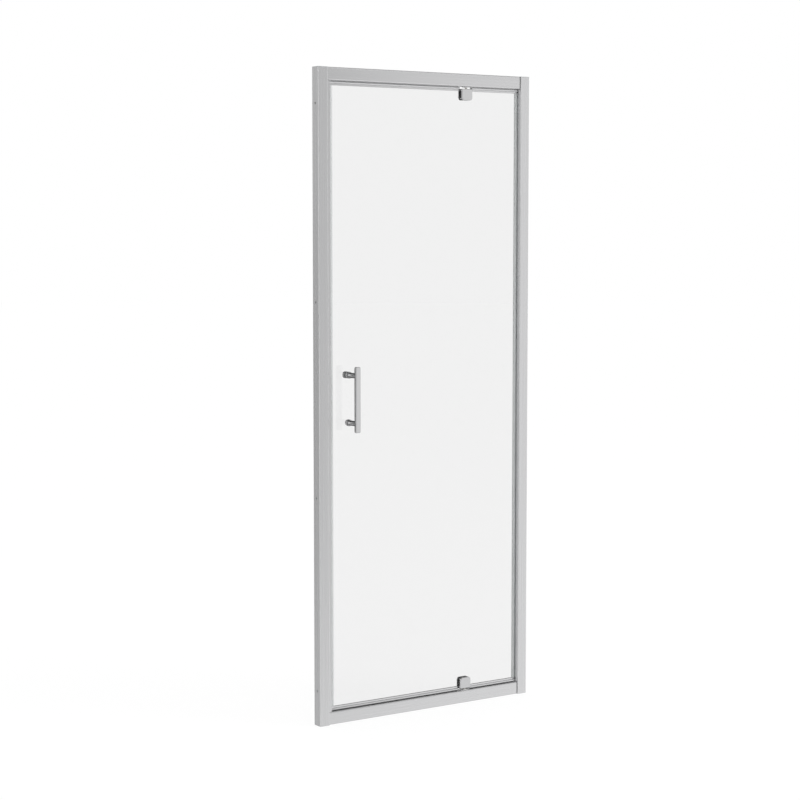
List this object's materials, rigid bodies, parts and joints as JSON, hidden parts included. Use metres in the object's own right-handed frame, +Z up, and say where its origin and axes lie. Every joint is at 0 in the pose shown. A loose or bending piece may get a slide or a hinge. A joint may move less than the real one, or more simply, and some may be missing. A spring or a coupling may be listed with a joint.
{
  "type": "pivot shower door",
  "caption": "Framed shower door whose clear glass leaf swings outwards on a top and a bottom pivot, between jambs that slide in wall channels, with a flat grip bar on round posts.",
  "frame": {"origin": "middle of the frame's underside, where it stands on the shower tray, halfway between the walls and halfway through the depth of the wall channels", "axes": "+Z up along the jambs, +X to the right seen from outside the shower, +Y into the shower; the door is stored closed with both wall channels pushed in"},
  "size_m": [0.734, 0.074, 1.85],
  "materials": {
    "satin_aluminium": "satin, bright silver anodised",
    "edge_trim_aluminium": "satin silver anodised, fine extrusion lines",
    "grey_nylon": "moulded, matt",
    "chrome": "polished chromium plate",
    "stainless_steel": "turned and brushed",
    "white_acetal": "moulded, smooth",
    "clear_glass": "polished toughened float glass",
    "clear_vinyl": "extruded, clear and slightly milky",
    "grey_rubber": "soft, matt",
    "magnet_strip": "flexible magnet strip in a white sleeve, matt"
  },
  "bodies": {
    "right_channel": {"right_wall_channel": "satin_aluminium", "right_channel_cap": "grey_nylon"},
    "frame": {"left_jamb": "satin_aluminium", "right_jamb": "satin_aluminium", "top_rail": "satin_aluminium", "bottom_rail": "satin_aluminium", "corner_screws": "stainless_steel", "strike_magnet_carrier": "grey_nylon", "strike_magnet": "magnet_strip", "left_adjuster_screws": "stainless_steel", "right_adjuster_screws": "stainless_steel", "left_adjuster_caps": "grey_nylon", "right_adjuster_caps": "grey_nylon", "bottom_pivot_shoe": "chrome", "top_pivot_shoe": "chrome", "bottom_pivot_bush": "white_acetal", "top_pivot_bush": "white_acetal", "bottom_anchor_plate": "stainless_steel", "top_anchor_plate": "stainless_steel", "shoe_screws": "stainless_steel"},
    "left_channel": {"left_wall_channel": "satin_aluminium", "left_channel_cap": "grey_nylon"},
    "door": {"bottom_long_trim": "edge_trim_aluminium", "top_long_trim": "edge_trim_aluminium", "bottom_short_trim": "edge_trim_aluminium", "top_short_trim": "edge_trim_aluminium", "bottom_pivot_block": "chrome", "top_pivot_block": "chrome", "bottom_rear_plate": "chrome", "top_rear_plate": "chrome", "handle_bar": "chrome", "lower_handle_post": "chrome", "upper_handle_post": "chrome", "lower_handle_rose": "chrome", "upper_handle_rose": "chrome", "inside_knob": "chrome", "lower_screw_cap": "chrome", "clamp_screws": "stainless_steel", "bottom_pivot_pin": "stainless_steel", "top_pivot_pin": "stainless_steel", "handle_studs": "stainless_steel", "glass_panel": "clear_glass", "closing_edge_seal": "clear_vinyl", "hinge_edge_seal": "clear_vinyl", "handle_sleeves": "clear_vinyl", "bottom_front_gasket": "grey_rubber", "top_front_gasket": "grey_rubber", "bottom_rear_gasket": "grey_rubber", "top_rear_gasket": "grey_rubber", "handle_front_washers": "grey_rubber", "handle_rear_washers": "grey_rubber", "bottom_long_wiper": "grey_rubber", "top_long_wiper": "grey_rubber", "bottom_short_wiper": "grey_rubber", "top_short_wiper": "grey_rubber", "door_magnet": "magnet_strip"}
  },
  "joints": [
    {"name": "frame_slide", "type": "slide", "parent": "right_channel", "child": "frame", "axis": [-1, 0, 0], "range_m": [0, 0.013]},
    {"name": "left_channel_slide", "type": "slide", "parent": "frame", "child": "left_channel", "axis": [-1, 0, 0], "range_m": [0, 0.013]},
    {"name": "door_swing", "type": "hinge", "parent": "frame", "child": "door", "pos_m": [0.143, -0.0063, 0], "axis": [0, 0, 1], "range_deg": [0, 90]}
  ]
}
